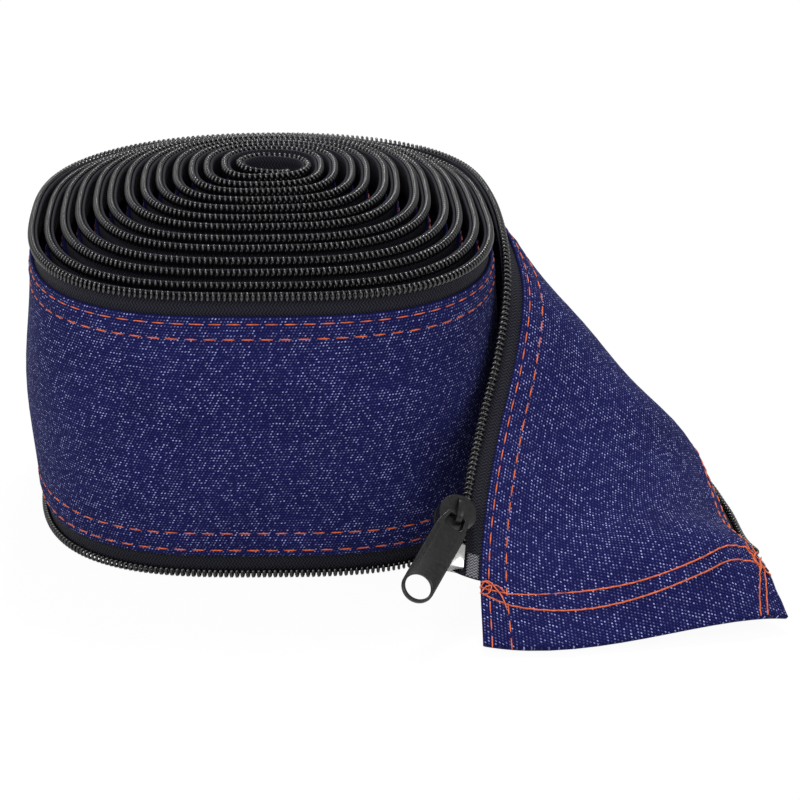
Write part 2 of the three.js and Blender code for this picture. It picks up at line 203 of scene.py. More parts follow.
class Strip:
    """The sheet in space.

    A place runs 0 to 1 through the folded core, 1 to 2 through the roll and 2 to 3 along the
    free end, to the hem. Inside the class all lengths are millimetres.
    """

    def __init__(self, sizes: StripSizes, roll: RollSizes, flap: FlapSizes, shift: Vector) -> None:
        """Works out the rails and the core's knots.

        Args:
            sizes: Section of the strip.
            roll: Shape of the roll.
            flap: Shape of the free end.
            shift: Offset from the roll's own frame to the part's frame, in metres.
        """
        self.sizes, self.roll, self.flap = sizes, roll, flap
        self.fine = Fineness()
        self.shift = np.array(shift)
        self.inner_wind = -2 * math.pi * roll.turns
        tail = [self.spiral(np.array([self.inner_wind + t]))[0] for t in roll.tail_winds]
        self.core_knots = np.array([*roll.core, *tail], float)
        self.core_share = len(roll.core) / (len(roll.core) + 2)
        knots = (flap.lower, flap.low, flap.high, flap.upper)
        levels = [share * sizes.width for share in flap.places]
        self.rails = [self._rail(points, level) for points, level in zip(knots, levels)]

    @property
    def zipper_end(self) -> float:
        """Distance along the free end at which tapes and zipper end."""
        return self.flap.length - self.sizes.hem_length - self.sizes.tape_setback

    def radius(self, wind: Array) -> Array:
        """Radius of the plain spiral at these winds."""
        return self.roll.radius + self.roll.pitch * wind / (2 * math.pi)

    def spiral(self, wind: Array) -> Array:
        """Plan points of the roll: a squarish spiral, a little uneven, dented at one side.

        Args:
            wind: Angles wound back from the place where the free end leaves the roll.

        Returns:
            Rows of x and y.
        """
        r = self.roll
        angle = math.radians(r.leave_angle) - wind
        loose = ease(-wind / (2 * math.pi) - 1)
        wobble = r.pair_wobble * np.sin(wind / 2 + r.wobble_phases[0])
        wobble += r.slow_wobble * np.sin(r.slow_rate * wind + r.wobble_phases[1])
        n = r.back_squareness + (r.front_squareness - r.back_squareness) * (1 - np.sin(angle)) / 2
        wide, deep = np.abs(np.cos(angle)), np.abs(np.sin(angle) / r.depth_ratio)
        outline = (wide**n + deep**n) ** (-1 / n)
        away = (angle - math.radians(r.dent_angle) + math.pi) % (2 * math.pi) - math.pi
        share = np.clip(1 + wind / (2 * math.pi * r.dent_turns), 0, 1)
        dent = r.side_dent * np.exp(-((away / math.radians(r.dent_spread)) ** 2)) * share
        reach = (self.radius(wind) + loose * wobble) * outline - dent
        return np.stack([r.centre_x + reach * np.cos(angle), reach * np.sin(angle)], -1)

    def rise(self, wind: Array) -> Array:
        """Height of the turn's foot, from the dome of the inner turns."""
        foot = self.roll.radius - self.roll.pitch
        dome = self.roll.dome_rise * (1 - (self.radius(wind) / foot) ** 2)
        return np.where(self.radius(wind) < foot, dome, 0.0)

    def _standing(
        self, plan: Array, heading: Array, lift: Array, radius: Array, v: Array, h: Array
    ) -> Array:
        """Points of the upright strip over its plan line.

        Args:
            plan: Plan points of the strip's foot.
            heading: Plan directions along the strip.
            lift: Heights of the foot.
            radius: Radius of the turn, to which its bulge at mid height is in proportion.
            v: Heights across the strip.
            h: Distances off its outer face.

        Returns:
            Rows of x, y and z.
        """
        out = np.stack([-heading[:, 1], heading[:, 0]], -1)
        t = v / self.sizes.width
        off = self.roll.bulge * radius / self.roll.radius * 4 * t * (1 - t) + h
        return np.concatenate([plan + out * off[:, None], (lift + v)[:, None]], -1)

    def _roll(self, wind: Array, v: Array, h: Array) -> Array:
        """Points of the roll.

        Args:
            wind: Angles wound back from the roll's end.
            v: Heights across the strip.
            h: Distances off its outer face.

        Returns:
            Rows of x, y and z.
        """
        step = 1e-3
        heading = unit(self.spiral(wind + step) - self.spiral(wind - step))
        return self._standing(self.spiral(wind), heading, self.rise(wind), self.radius(wind), v, h)

    def _core_curve(self, t: Array) -> Array:
        """Centripetal spline through the core's knots.

        Args:
            t: Shares of the way through the knots, 0 to 1.

        Returns:
            Rows of x and y.
        """
        k = self.core_knots
        p = np.vstack([2 * k[0] - k[1], k, 2 * k[-1] - k[-2]])
        place = np.clip(t, 0, 1) * (len(k) - 1)
        i = np.minimum(place.astype(int), len(k) - 2)
        w = (place - i)[:, None]
        a, b, c, d = p[i], p[i + 1], p[i + 2], p[i + 3]
        steps = (b - a, c - b, d - c)
        g0, g1, g2 = (np.sqrt(np.linalg.norm(x, axis=1, keepdims=True)) for x in steps)
        m1 = ((b - a) / g0 - (c - a) / (g0 + g1) + (c - b) / g1) * g1
        m2 = ((c - b) / g1 - (d - b) / (g1 + g2) + (d - c) / g2) * g1
        return b + w * (m1 + w * (-3 * b + 3 * c - 2 * m1 - m2 + w * (2 * b - 2 * c + m1 + m2)))

    def _core(self, share: Array, v: Array, h: Array) -> Array:
        """Points of the folded core.

        Args:
            share: Shares of the core's length, from the strip's inner end.
            v: Heights across the strip.
            h: Distances off its outer face.

        Returns:
            Rows of x, y and z.
        """
        t, step = share * self.core_share, 1e-4
        heading = unit(self._core_curve(t + step) - self._core_curve(np.maximum(t - step, 0)))
        lift = self.rise(np.array([self.inner_wind])) * ease(share + self.roll.core_lift)
        radius = self.radius(self.inner_wind)
        return self._standing(self._core_curve(t), heading, lift, radius, v, h)

    def _rail(self, points: Sequence[Sequence[float]], v: float) -> Array:
        """Knots of one rail, led in from the roll so that the strip leaves it without a break.

        Args:
            points: The rail's own knots, outwards from the roll.
            v: Height of the rail across the strip.

        Returns:
            Rows of x, y and z, starting with two points of the roll.
        """
        level, zero = np.array([v]), np.zeros(1)
        gap = self.flap.length / len(points)
        start = self._roll(zero, level, zero)[0]
        wind = 0.0
        while np.linalg.norm(self._roll(np.array([wind]), level, zero)[0] - start) < gap:
            wind -= 0.01
        lead = self._roll(np.array([wind]), level, zero)[0]
        return np.vstack([lead, start, np.array(points, float)])

    def _along_rail(self, knots: Array, s: Array) -> Array:
        """Points of a rail.

        Args:
            knots: Its knots, from _rail.
            s: Distances along the free end.

        Returns:
            Rows of x, y and z.
        """
        last = len(knots) - 1
        p = np.vstack([knots, 2 * knots[-1] - knots[-2]])
        place = 1 + s / self.flap.length * (last - 1)
        i = np.clip(place.astype(int), 1, last - 1)
        t = (place - i)[:, None]
        a, b, c, d = p[i - 1], p[i], p[i + 1], p[i + 2]
        return b + 0.5 * t * (c - a + t * (2 * a - 5 * b + 4 * c - d + t * (3 * b - a - 3 * c + d)))

    def _flap_point(self, s: Array, v: Array) -> Array:
        """Points of the free end's outer face, on a cubic through the four rails.

        Args:
            s: Distances along the free end.
            v: Heights across the strip.

        Returns:
            Rows of x, y and z.
        """
        t = (v / self.sizes.width)[:, None]
        total = np.zeros((len(t), 3))
        for k, rail in enumerate(self.rails):
            own = self.flap.places[k]
            others = [u for i, u in enumerate(self.flap.places) if i != k]
            total += self._along_rail(rail, s) * math.prod((t - u) / (own - u) for u in others)
        return total

    def _flap(self, s: Array, v: Array, h: Array) -> Array:
        """Points of the free end.

        Args:
            s: Distances along it, from the roll.
            v: Heights across the strip.
            h: Distances off its outer face.

        Returns:
            Rows of x, y and z.
        """
        step = 0.05
        ahead, behind = np.minimum(s + step, self.flap.length), np.maximum(s - step, 0)
        along = self._flap_point(ahead, v) - self._flap_point(behind, v)
        up = self._flap_point(s, v + step) - self._flap_point(s, v - step)
        return self._flap_point(s, v) + unit(np.cross(up, along)) * h[:, None]

    def at(self, place: Array, v: Array | float, h: Array | float) -> Array:
        """Points in the part's frame, in metres.

        Args:
            place: Places along the strip, 0 to 3.
            v: Heights across it, from its lower edge.
            h: Distances off its outer face.

        Returns:
            An array of points with the broadcast shape of the three, and 3 coordinates.
        """
        place, v, h = np.broadcast_arrays(*(np.asarray(a, float) for a in (place, v, h)))
        shape = place.shape
        place, v, h = place.ravel(), v.ravel(), h.ravel()
        out = np.zeros((place.size, 3))
        core, flap = place < 1, place >= 2
        wound = ~(core | flap)
        if core.any():
            out[core] = self._core(place[core], v[core], h[core])
        if wound.any():
            out[wound] = self._roll(self.inner_wind * (2 - place[wound]), v[wound], h[wound])
        if flap.any():
            s = np.minimum((place[flap] - 2) * self.flap.length, self.flap.length)
            out[flap] = self._flap(s, v[flap], h[flap])
        return out.reshape(*shape, 3) * MM + self.shift

    def frames(self, place: Array, v: Array | float, h: Array | float) -> tuple:
        """Points with the strip's directions there.

        Args:
            place: Places along the strip, 0 to 3.
            v: Heights across it.
            h: Distances off its outer face.

        Returns:
            Points, and unit vectors along, across and off the strip.
        """
        place, v, h = np.broadcast_arrays(*(np.asarray(a, float) for a in (place, v, h)))
        long_step, wound_step, up_step = 4e-4, 4e-5, 0.1
        step = np.where((place >= 1) & (place < 2), wound_step, long_step)
        ahead, behind = np.minimum(place + step, 3), np.maximum(place - step, 0)
        along = unit(self.at(ahead, v, h) - self.at(behind, v, h))
        up = self.at(place, v + up_step, h) - self.at(place, v - up_step, h)
        off = unit(np.cross(up, along))
        return self.at(place, v, h), along, np.cross(along, off), off

    def flap_place(self, s: Array | float) -> Array | float:
        """Place at s millimetres along the free end."""
        return 2 + s / self.flap.length

    def spaced(self, start: float, end: float, v: float, pitch: float) -> Array:
        """Places spaced evenly along the line at one height.

        Args:
            start: First place.
            end: Last place.
            v: Height across the strip.
            pitch: Distance between them, widened a little so that it goes in evenly.

        Returns:
            The places.
        """
        parts = [np.linspace(k, k + 1, n)[min(k, 1) :] for k, n in enumerate(self.fine.measured)]
        dense = np.concatenate(parts)
        dense = np.concatenate([[start], dense[(dense > start) & (dense < end)], [end]])
        run = run_along(self.at(dense, v, 1.0)) / MM
        count = max(int(run[-1] / pitch), 1)
        return np.interp(np.linspace(0, run[-1], count + 1), run, dense)

    def length(self) -> float:
        """Length of the strip along its middle, in metres."""
        middle, pitch = self.sizes.width / 2, 4.0
        return float(run_along(self.at(self.spaced(0, 3, middle, pitch), middle, 0.0))[-1])

    def stations(self, start: float = 0.0, end: float = 3.0) -> Array:
        """Places of a mesh's rings: coarse in the core and inner turns, fine where they show.

        Args:
            start: First place.
            end: Last place.

        Returns:
            The places.
        """
        fine, margin = self.fine, 1e-4
        split = 2 - fine.outer_turns / self.roll.turns
        inner = int((self.roll.turns - fine.outer_turns) * fine.inner_turn)
        every = np.concatenate([
            np.linspace(0, 1, fine.core, endpoint=False),
            np.linspace(1, split, inner, endpoint=False),
            np.linspace(split, 2, fine.outer, endpoint=False),
            np.linspace(2, 3, fine.flap),
        ])
        kept = every[(every > start + margin) & (every < end - margin)]
        return np.concatenate([[start], kept, [end]])


class Tree:
    """A short hand for building a node tree."""

    def __init__(self, tree: bpy.types.NodeTree) -> None:
        """Wraps a node tree.

        Args:
            tree: The tree that nodes are added to.
        """
        self.tree = tree

    def add(self, kind: str, inputs: dict | None = None, **settings) -> bpy.types.Node:
        """Adds a node, sets its properties and links or fills its inputs.

        Args:
            kind: The node's type name.
            inputs: Input name or index to a value or an output socket.
            **settings: Properties set on the node itself.

        Returns:
            The node.
        """
        node = self.tree.nodes.new(kind)
        for key, value in settings.items():
            setattr(node, key, value)
        for key, value in (inputs or {}).items():
            socket = node.inputs[key]
            if isinstance(value, bpy.types.NodeSocket):
                self.tree.links.new(value, socket)
            else:
                socket.default_value = value
        return node

    def wire(self, socket: Socket, target: Socket) -> None:
        """Links an output to an input."""
        self.tree.links.new(socket, target)

    def math(self, operation: str, a: Socket | float, b: Socket | float = 0.0) -> Socket:
        """Output of a math node."""
        return self.add("ShaderNodeMath", {0: a, 1: b}, operation=operation).outputs[0]

    def total(self, a: Socket | float, b: Socket | float) -> Socket:
        """Sum of two values."""
        return self.math("ADD", a, b)

    def times(self, a: Socket | float, b: Socket | float) -> Socket:
        """Product of two values."""
        return self.math("MULTIPLY", a, b)

    def wave(self, a: Socket, pitch: float) -> Socket:
        """Sine of a distance that repeats after a pitch."""
        return self.math("SINE", self.times(a, 2 * math.pi / pitch))

    def joined(self, x: Socket | float, y: Socket | float, z: Socket | float = 0.0) -> Socket:
        """Vector of three values."""
        return self.add("ShaderNodeCombineXYZ", {0: x, 1: y, 2: z}).outputs[0]

    def noise(self, place: Socket, scale: float, detail: float, roughness: float = 0.5) -> Socket:
        """Grey level of a noise."""
        inputs = {"Vector": place, "Scale": scale, "Detail": detail, "Roughness": roughness}
        return self.add("ShaderNodeTexNoise", inputs).outputs[0]

    def bump(self, shader: bpy.types.Node, height: Socket, strength: float, depth: float) -> None:
        """Gives a shader small relief from a height, with its depth in metres."""
        inputs = {"Height": height, "Strength": strength, "Distance": depth}
        self.wire(self.add("ShaderNodeBump", inputs).outputs[0], shader.inputs["Normal"])

    def mix(self, share: Socket, a: Socket | tuple, b: Socket | tuple) -> Socket:
        """Output of a colour mix.

        Args:
            share: Share of the second colour.
            a: First colour.
            b: Second colour.

        Returns:
            The mixed colour.
        """
        node = self.add("ShaderNodeMix", {0: share}, data_type="RGBA")
        for index, value in ((6, a), (7, b)):
            if isinstance(value, bpy.types.NodeSocket):
                self.tree.links.new(value, node.inputs[index])
            else:
                node.inputs[index].default_value = value
        return node.outputs[2]

    def ramp(self, value: Socket, stops: Sequence[tuple]) -> Socket:
        """Output of a grey ramp.

        Args:
            value: The socket that drives it.
            stops: Pairs of position and grey level.

        Returns:
            The grey level.
        """
        node = self.add("ShaderNodeValToRGB", {0: value})
        while len(node.color_ramp.elements) < len(stops):
            node.color_ramp.elements.new(0.5)
        for element, (position, level) in zip(node.color_ramp.elements, stops):
            element.position = position
            element.color = (level, level, level, 1)
        return node.outputs[0]


@dataclass(frozen=True)
class Finish:
    """What every surface has."""

    name: str
    color: tuple
    roughness: float
    metallic: float = 0.0
    sheen: float = 0.0
    coat: float = 0.0
    specular: float = 0.5


INDIGO = Finish("indigo_denim", (0.0040, 0.0045, 0.053), 0.92, sheen=0.01, specular=0.08)
ORANGE = Finish("orange_thread", (0.72, 0.13, 0.035), 0.6, sheen=0.1, specular=0.3)
BLACK_TAPE = Finish("black_tape", (0.0026, 0.0026, 0.0046), 0.8, sheen=0.02, specular=0.2)
NYLON = Finish("black_nylon", (0.0028, 0.0028, 0.004), 0.2, specular=0.85)
LACQUER = Finish("black_lacquer", (0.0035, 0.0035, 0.004), 0.36, coat=0.12, specular=0.35)
NICKEL = Finish("bright_nickel", (0.6, 0.6, 0.58), 0.22, metallic=1.0)
FILM = Finish("tape_film", (0.016, 0.016, 0.019), 0.42, coat=0.25)


class Looks:
    """Builds and keeps the materials."""

    def __init__(self) -> None:
        """Starts with no material made."""
        self.made: dict[str, bpy.types.Material] = {}

    def get(self, finish: Finish, dress: Callable | None = None) -> bpy.types.Material:
        """The material of a finish.

        Args:
            finish: Its plain values.
            dress: Adds detail: takes the tree, the shader node and the finish.

        Returns:
            The material, made once.
        """
        if finish.name in self.made:
            return self.made[finish.name]
        material = bpy.data.materials.new(finish.name)
        material.use_nodes = True
        shader = material.node_tree.nodes["Principled BSDF"]
        for key, value in {
            "Base Color": (*finish.color, 1),
            "Roughness": finish.roughness,
            "Metallic": finish.metallic,
            "Sheen Weight": finish.sheen,
            "Coat Weight": finish.coat,
            "Coat Roughness": 0.2,
            "Specular IOR Level": finish.specular,
        }.items():
            shader.inputs[key].default_value = value
        if dress:
            dress(Tree(material.node_tree), shader, finish)
        self.made[finish.name] = material
        return material


@dataclass(frozen=True)
class Twill:
    """Weave of the denim in millimetres, factors on its colour, and its relief in metres."""

    slope: float = 0.55
    sway: float = 1.1
    sway_scale: float = 0.35
    rib_pitch: float = 0.95
    cell_height: float = 0.85
    cell_shear: float = 0.5
    unevenness: float = 0.16
    wear_scale: float = 0.045
    fuzz_scale: float = 1.6
    deep: float = 0.6
    light: tuple = (1.7, 1.7, 1.45)
    pale: tuple = (2.6, 2.6, 1.7)
    weft: tuple = (0.37, 0.40, 0.72)
    sheen_tint: tuple = (0.55, 0.6, 1.0)
    rib_relief: float = 0.35
    fleck_relief: float = 0.5
    relief: float = 0.55
    depth: float = 0.00022


@dataclass(frozen=True)
class Herringbone:
    """Weave of a tape, in millimetres: ribs that lean one way, then the other."""

    turn: float
    lean: float
    pitch: float
    # Factor on the colour at the crests of the ribs: a painted highlight.
    light: float

    def rib(self, t: Tree, x: Socket, y: Socket) -> Socket:
        """Wave of the ribs at x along and y across the tape."""
        return t.wave(t.total(x, t.times(t.math("PINGPONG", y, self.turn), self.lean)), self.pitch)


TWILL = Twill()
TAPE_WEAVE = Herringbone(1.1, 0.9, 1.05, 15.0)
FILM_WEAVE = Herringbone(0.55, 1.3, 0.9, 14.0)


def strip_uv(t: Tree) -> tuple:
    """Sockets of the place along and across the strip, in millimetres."""
    uv = t.add("ShaderNodeUVMap", uv_map="strip").outputs[0]
    split = t.add("ShaderNodeSeparateXYZ", {0: uv})
    return t.times(split.outputs[0], 1000.0), t.times(split.outputs[1], 1000.0)


def shade(color: Sequence[float], factors: float | Sequence[float] = 1.0) -> tuple:
    """A colour times one factor, or times one for each channel, with alpha."""
    return (*(float(c) for c in np.array(color) * factors), 1)


def dress_denim(t: Tree, shader: bpy.types.Node, finish: Finish) -> None:
    """Twill: fine diagonal ribs with painted shade in their grooves, and rows of pale weft flecks
    between them.

    Args:
        t: The material's tree.
        shader: Its shader node.
        finish: The plain finish.
    """
    x, y = strip_uv(t)
    place = t.joined(x, y)
    sway = t.times(t.noise(place, TWILL.sway_scale, 2.0), TWILL.sway)
    rib = t.wave(t.total(t.total(x, t.times(y, TWILL.slope)), sway), TWILL.rib_pitch)
    # One fleck per weave cell: cells are sheared so that they fall in diagonal rows.
    cell = t.joined(t.total(x, t.times(y, TWILL.cell_shear)), t.times(y, 1 / TWILL.cell_height))
    inputs = {"Vector": cell, "Scale": 1.0, "Randomness": TWILL.unevenness}
    dots = t.add("ShaderNodeTexVoronoi", inputs, voronoi_dimensions="2D")
    near = t.ramp(dots.outputs["Distance"], [(0.14, 1.0), (0.31, 0.0)])
    lot = t.add("ShaderNodeSeparateColor", {0: dots.outputs["Color"]}).outputs[0]
    fleck = t.times(near, t.ramp(lot, [(0.2, 0.04), (0.7, 0.24), (1.0, 0.95)]))
    large = t.noise(place, TWILL.wear_scale, 3.0)
    fine = t.noise(place, TWILL.fuzz_scale, 4.0, 0.7)
    deep, light, pale = (shade(finish.color, f) for f in (TWILL.deep, TWILL.light, TWILL.pale))
    cloth = t.mix(t.ramp(fine, [(0.32, 0.0), (0.68, 1.0)]), deep, light)
    worn = t.mix(t.ramp(large, [(0.35, 0.0), (0.7, 0.4)]), cloth, pale)
    # Painted shade: the colour darkens to the deep tone in the grooves between the ribs.
    rib_groove_shaded = t.mix(t.ramp(rib, [(0.0, 0.35), (0.9, 0.0)]), worn, deep)
    t.wire(t.mix(fleck, rib_groove_shaded, shade(TWILL.weft)), shader.inputs["Base Color"])
    woven = t.total(t.times(fleck, TWILL.fleck_relief), fine)
    height = t.total(t.times(rib, TWILL.rib_relief), woven)
    t.bump(shader, height, TWILL.relief, TWILL.depth)
    shader.inputs["Sheen Roughness"].default_value = 0.5
    shader.inputs["Sheen Tint"].default_value = shade(TWILL.sheen_tint)


def dress_tape(t: Tree, shader: bpy.types.Node, finish: Finish) -> None:
    """Herringbone of a woven tape, with a painted highlight along the crests of its ribs.

    Args:
        t: The material's tree.
        shader: Its shader node.
        finish: The plain finish.
    """
    rib_relief, fuzz_scale, relief, depth = 0.5, 2.6, 0.8, 0.0002
    x, y = strip_uv(t)
    rib = TAPE_WEAVE.rib(t, x, y)
    height = t.total(t.times(rib, rib_relief), t.noise(t.joined(x, y), fuzz_scale, 3.0))
    t.bump(shader, height, relief, depth)
    # Painted highlight: the crests of the ribs are lighter than the black yarn.
    share = t.ramp(rib, [(0.45, 0.0), (1.0, 0.6)])
    woven = t.mix(share, shade(finish.color), shade(finish.color, TAPE_WEAVE.light))
    t.wire(woven, shader.inputs["Base Color"])


def dress_film(t: Tree, shader: bpy.types.Node, finish: Finish) -> None:
    """Weave seen through a clear film, grey along the crests of its ribs from a painted highlight.

    Args:
        t: The material's tree.
        shader: Its shader node.
        finish: The plain finish.
    """
    # Painted highlight: the crests of the ribs under the film are light grey.
    share = t.ramp(FILM_WEAVE.rib(t, *strip_uv(t)), [(0.35, 0.0), (0.8, 1.0)])
    woven = t.mix(share, shade(finish.color), shade(finish.color, FILM_WEAVE.light))
    t.wire(woven, shader.inputs["Base Color"])


def dress_thread(t: Tree, shader: bpy.types.Node, finish: Finish) -> None:
    """Twisted plies, with painted shade darker in the grooves between them.

    Args:
        t: The material's tree.
        shader: Its shader node.
        finish: The plain finish.
    """
    groove_shade_factor, ply_scale, relief, depth = 0.55, 900.0, 0.5, 0.0001
    ply = t.noise(t.add("ShaderNodeTexCoord").outputs["Object"], ply_scale, 2.0)
    share = t.ramp(ply, [(0.35, 0.0), (0.65, 1.0)])
    # Painted shade: the colour darkens in the grooves between the plies.
    plies_groove_shaded = t.mix(share, shade(finish.color, groove_shade_factor), shade(finish.color))
    t.wire(plies_groove_shaded, shader.inputs["Base Color"])
    t.bump(shader, ply, relief, depth)


def dress_grain(scale: float, depth: float, spread: float) -> Callable:
    """A fine grain in roughness and height, for moulded, lacquered and plated surfaces.

    Args:
        scale: Scale of the grain, per metre.
        depth: Its depth, in metres.
        spread: Share by which the roughness varies up and down.

    Returns:
        A function that dresses a material.
    """

    def dress(t: Tree, shader: bpy.types.Node, finish: Finish) -> None:
        """Adds the grain to a material.

        Args:
            t: The material's tree.
            shader: Its shader node.
            finish: The plain finish.
        """
        noise = t.noise(t.add("ShaderNodeTexCoord").outputs["Object"], scale, 4.0)
        low, high = finish.roughness * (1 - spread), finish.roughness * (1 + spread)
        t.wire(t.ramp(noise, [(0.3, low), (0.7, high)]), shader.inputs["Roughness"])
        t.bump(shader, noise, 0.4, depth)

    return dress


class Band:
    """A closed sheet of the strip between two heights, with its own section."""

    def __init__(self, strip: Strip, name: str) -> None:
        """Keeps what it is laid on.

        Args:
            strip: The sheet in space.
            name: Name of the piece.
        """
        self.strip, self.name = strip, name

    def build(self, places: Array, levels: Array, outer: Array, inner: Array) -> bpy.types.Object:
        """Makes the mesh.

        Args:
            places: Places of the rings.
            levels: Heights across the strip.
            outer: Depth of the outer face, one row per ring and one column per level.
            inner: Depth of the inner face, the same way.

        Returns:
            The object, with a UV layer in metres along and across the strip.
        """
        n, k = len(places), len(levels)
        front = self.strip.at(places[:, None], levels[None], outer)
        back = self.strip.at(places[:, None], levels[None], inner)[:, ::-1]
        points = np.concatenate([front, back], 1)
        ring = 2 * k
        i, j = np.meshgrid(np.arange(n - 1), np.arange(ring), indexing="ij")
        here, nxt = i * ring, (j + 1) % ring
        quads = np.stack([here + j, here + ring + j, here + ring + nxt, here + nxt], -1)
        a = np.arange(k - 1)
        cap = np.stack([a, a + 1, ring - 2 - a, ring - 1 - a], -1)
        sides = quads.reshape(-1, 4)[:, ::-1]
        faces = np.concatenate([sides, cap[:, ::-1], cap + (n - 1) * ring])
        mesh = bpy.data.meshes.new(self.name)
        mesh.from_pydata(points.reshape(-1, 3).tolist(), [], faces.tolist())
        run = run_along(self.strip.at(places, float(levels.mean()), 0.0))
        v = np.concatenate([levels, levels[::-1]]) * MM
        uv = np.stack([np.repeat(run, ring), np.tile(v, n)], -1)
        layer = mesh.uv_layers.new(name="strip")
        loops = np.zeros(len(mesh.loops), dtype=np.int32)
        mesh.loops.foreach_get("vertex_index", loops)
        layer.data.foreach_set("uv", uv[loops].ravel())
        return link(mesh, self.name)


@contextmanager
def edited(mesh: bpy.types.Mesh) -> Iterator[bmesh.types.BMesh]:
    """A mesh opened for editing.

    Args:
        mesh: The mesh, written back at the end.

    Yields:
        Its faces, edges and corners.
    """
    work = bmesh.new()
    work.from_mesh(mesh)
    yield work
    work.to_mesh(mesh)
    work.free()


def placed(name: str, data: bpy.types.ID) -> bpy.types.Object:
    """A new object of the scene with this data."""
    piece = bpy.data.objects.new(name, data)
    bpy.context.collection.objects.link(piece)
    return piece


def evaluated(holder: bpy.types.Object) -> bpy.types.Mesh:
    """The plain mesh that an object's curve or modifiers make.

    Args:
        holder: The object, which is removed.

    Returns:
        The mesh.
    """
    graph = bpy.context.evaluated_depsgraph_get()
    made = bpy.data.meshes.new_from_object(holder.evaluated_get(graph))
    bpy.data.objects.remove(holder)
    return made


def link(mesh: bpy.types.Mesh, name: str, sharp: bool = False) -> bpy.types.Object:
    """Puts a mesh in the scene with faces outward.

    Args:
        mesh: The mesh.
        name: Name of the piece.
        sharp: Whether edges over 40 degrees stay sharp. Other edges are shaded smooth.

    Returns:
        The object.
    """
    with edited(mesh) as work:
        if work.calc_volume(signed=True) < 0:
            bmesh.ops.reverse_faces(work, faces=work.faces)
        for face in work.faces:
            face.smooth = True
    if sharp:
        mesh.set_sharp_from_angle(angle=SHARP_ANGLE)
    return placed(name, mesh)


def soften(work: bmesh.types.BMesh, radius: float) -> None:
    """Rounds the sharp edges of a solid.

    Args:
        work: The solid, changed in place.
        radius: Width of the rounding, in millimetres.
    """
    flat, edge = math.radians(2), math.radians(35)
    bmesh.ops.remove_doubles(work, verts=work.verts, dist=1e-6)
    bmesh.ops.dissolve_limit(work, angle_limit=flat, verts=work.verts, edges=work.edges)
    sharp = [e for e in work.edges if e.is_manifold and e.calc_face_angle(0) > edge]
    bmesh.ops.bevel(
        work, geom=sharp, offset=radius * MM, segments=2, profile=0.5, affect="EDGES",
        clamp_overlap=True,
    )
    bmesh.ops.triangulate(work, faces=[f for f in work.faces if len(f.verts) > 4])


def settle(
    piece: bpy.types.Object,
    body: Body,
    material: bpy.types.Material,
    nodes: Sequence[str] = (),
) -> None:
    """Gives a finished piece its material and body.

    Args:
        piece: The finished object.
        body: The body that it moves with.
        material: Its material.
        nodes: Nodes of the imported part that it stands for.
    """
    piece.data.materials.clear()
    piece.data.materials.append(material)
    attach(piece, body.value)
    if nodes:
        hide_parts(*nodes)
    log.info("%s: %d faces on %s", piece.name, len(piece.data.polygons), body.value)


class Scatter:
    """Copies of one small form on points with their own turn, made by a node tree."""

    def __init__(self, name: str, form: Callable, inputs: dict) -> None:
        """Builds the tree.

        Args:
            name: Name of the tree.
            form: Takes the tree and the group input's sockets, and returns a geometry socket.
            inputs: Named sizes and their values.
        """
        self.group = bpy.data.node_groups.new(name, "GeometryNodeTree")
        self.inputs = inputs
        face = self.group.interface
        face.new_socket("Geometry", in_out="INPUT", socket_type="NodeSocketGeometry")
        for key in inputs:
            face.new_socket(key, in_out="INPUT", socket_type="NodeSocketFloat")
        face.new_socket("Material", in_out="INPUT", socket_type="NodeSocketMaterial")
        face.new_socket("Geometry", in_out="OUTPUT", socket_type="NodeSocketGeometry")
        t = Tree(self.group)
        source = t.add("NodeGroupInput")
        kind = "GeometryNodeInputNamedAttribute"
        turn, size = (
            t.add(kind, {"Name": key}, data_type="FLOAT_VECTOR").outputs[0]
            for key in ("turn", "size")
        )
        spread = {
            "Points": source.outputs["Geometry"],
            "Instance": form(t, source.outputs),
            "Rotation": turn,
            "Scale": size,
        }
        copies = t.add("GeometryNodeInstanceOnPoints", spread)
        real = t.add("GeometryNodeRealizeInstances", {0: copies.outputs[0]})
        smooth = t.add("GeometryNodeSetShadeSmooth", {"Geometry": real.outputs[0]})
        dressed = {0: smooth.outputs[0], "Material": source.outputs["Material"]}
        paint = t.add("GeometryNodeSetMaterial", dressed)
        t.add("NodeGroupOutput", {0: paint.outputs[0]})

    def make(
        self,
        name: str,
        points: Array,
        axes: tuple,
        material: bpy.types.Material,
        size: Array | None = None,
    ) -> bpy.types.Object:
        """Places the copies and turns them into one plain mesh.

        Args:
            name: Name of the piece.
            points: Where the copies go, in metres.
            axes: Their x, y and z directions, an array each.
            material: Their material.
            size: Scale of each copy along its axes, or nothing for full size.

        Returns:
            The finished object, with no modifier.
        """
        mesh = bpy.data.meshes.new(name)
        mesh.from_pydata(points.tolist(), [], [])
        turns = [Matrix(np.stack(m, 1).tolist()).to_euler() for m in zip(*axes)]
        scale = np.ones((len(points), 3)) if size is None else size
        for key, values in (("turn", np.array(turns)), ("size", scale)):
            layer = mesh.attributes.new(key, "FLOAT_VECTOR", "POINT")
            layer.data.foreach_set("vector", values.ravel())
        holder = placed(name, mesh)
        modifier = holder.modifiers.new(name, "NODES")
        modifier.node_group = self.group
        for socket in self.group.interface.items_tree:
            if socket.in_out == "INPUT" and socket.name in self.inputs:
                modifier[socket.identifier] = self.inputs[socket.name]
            if socket.in_out == "INPUT" and socket.name == "Material":
                modifier[socket.identifier] = material
        made = evaluated(holder)
        made.name = name
        return placed(name, made)


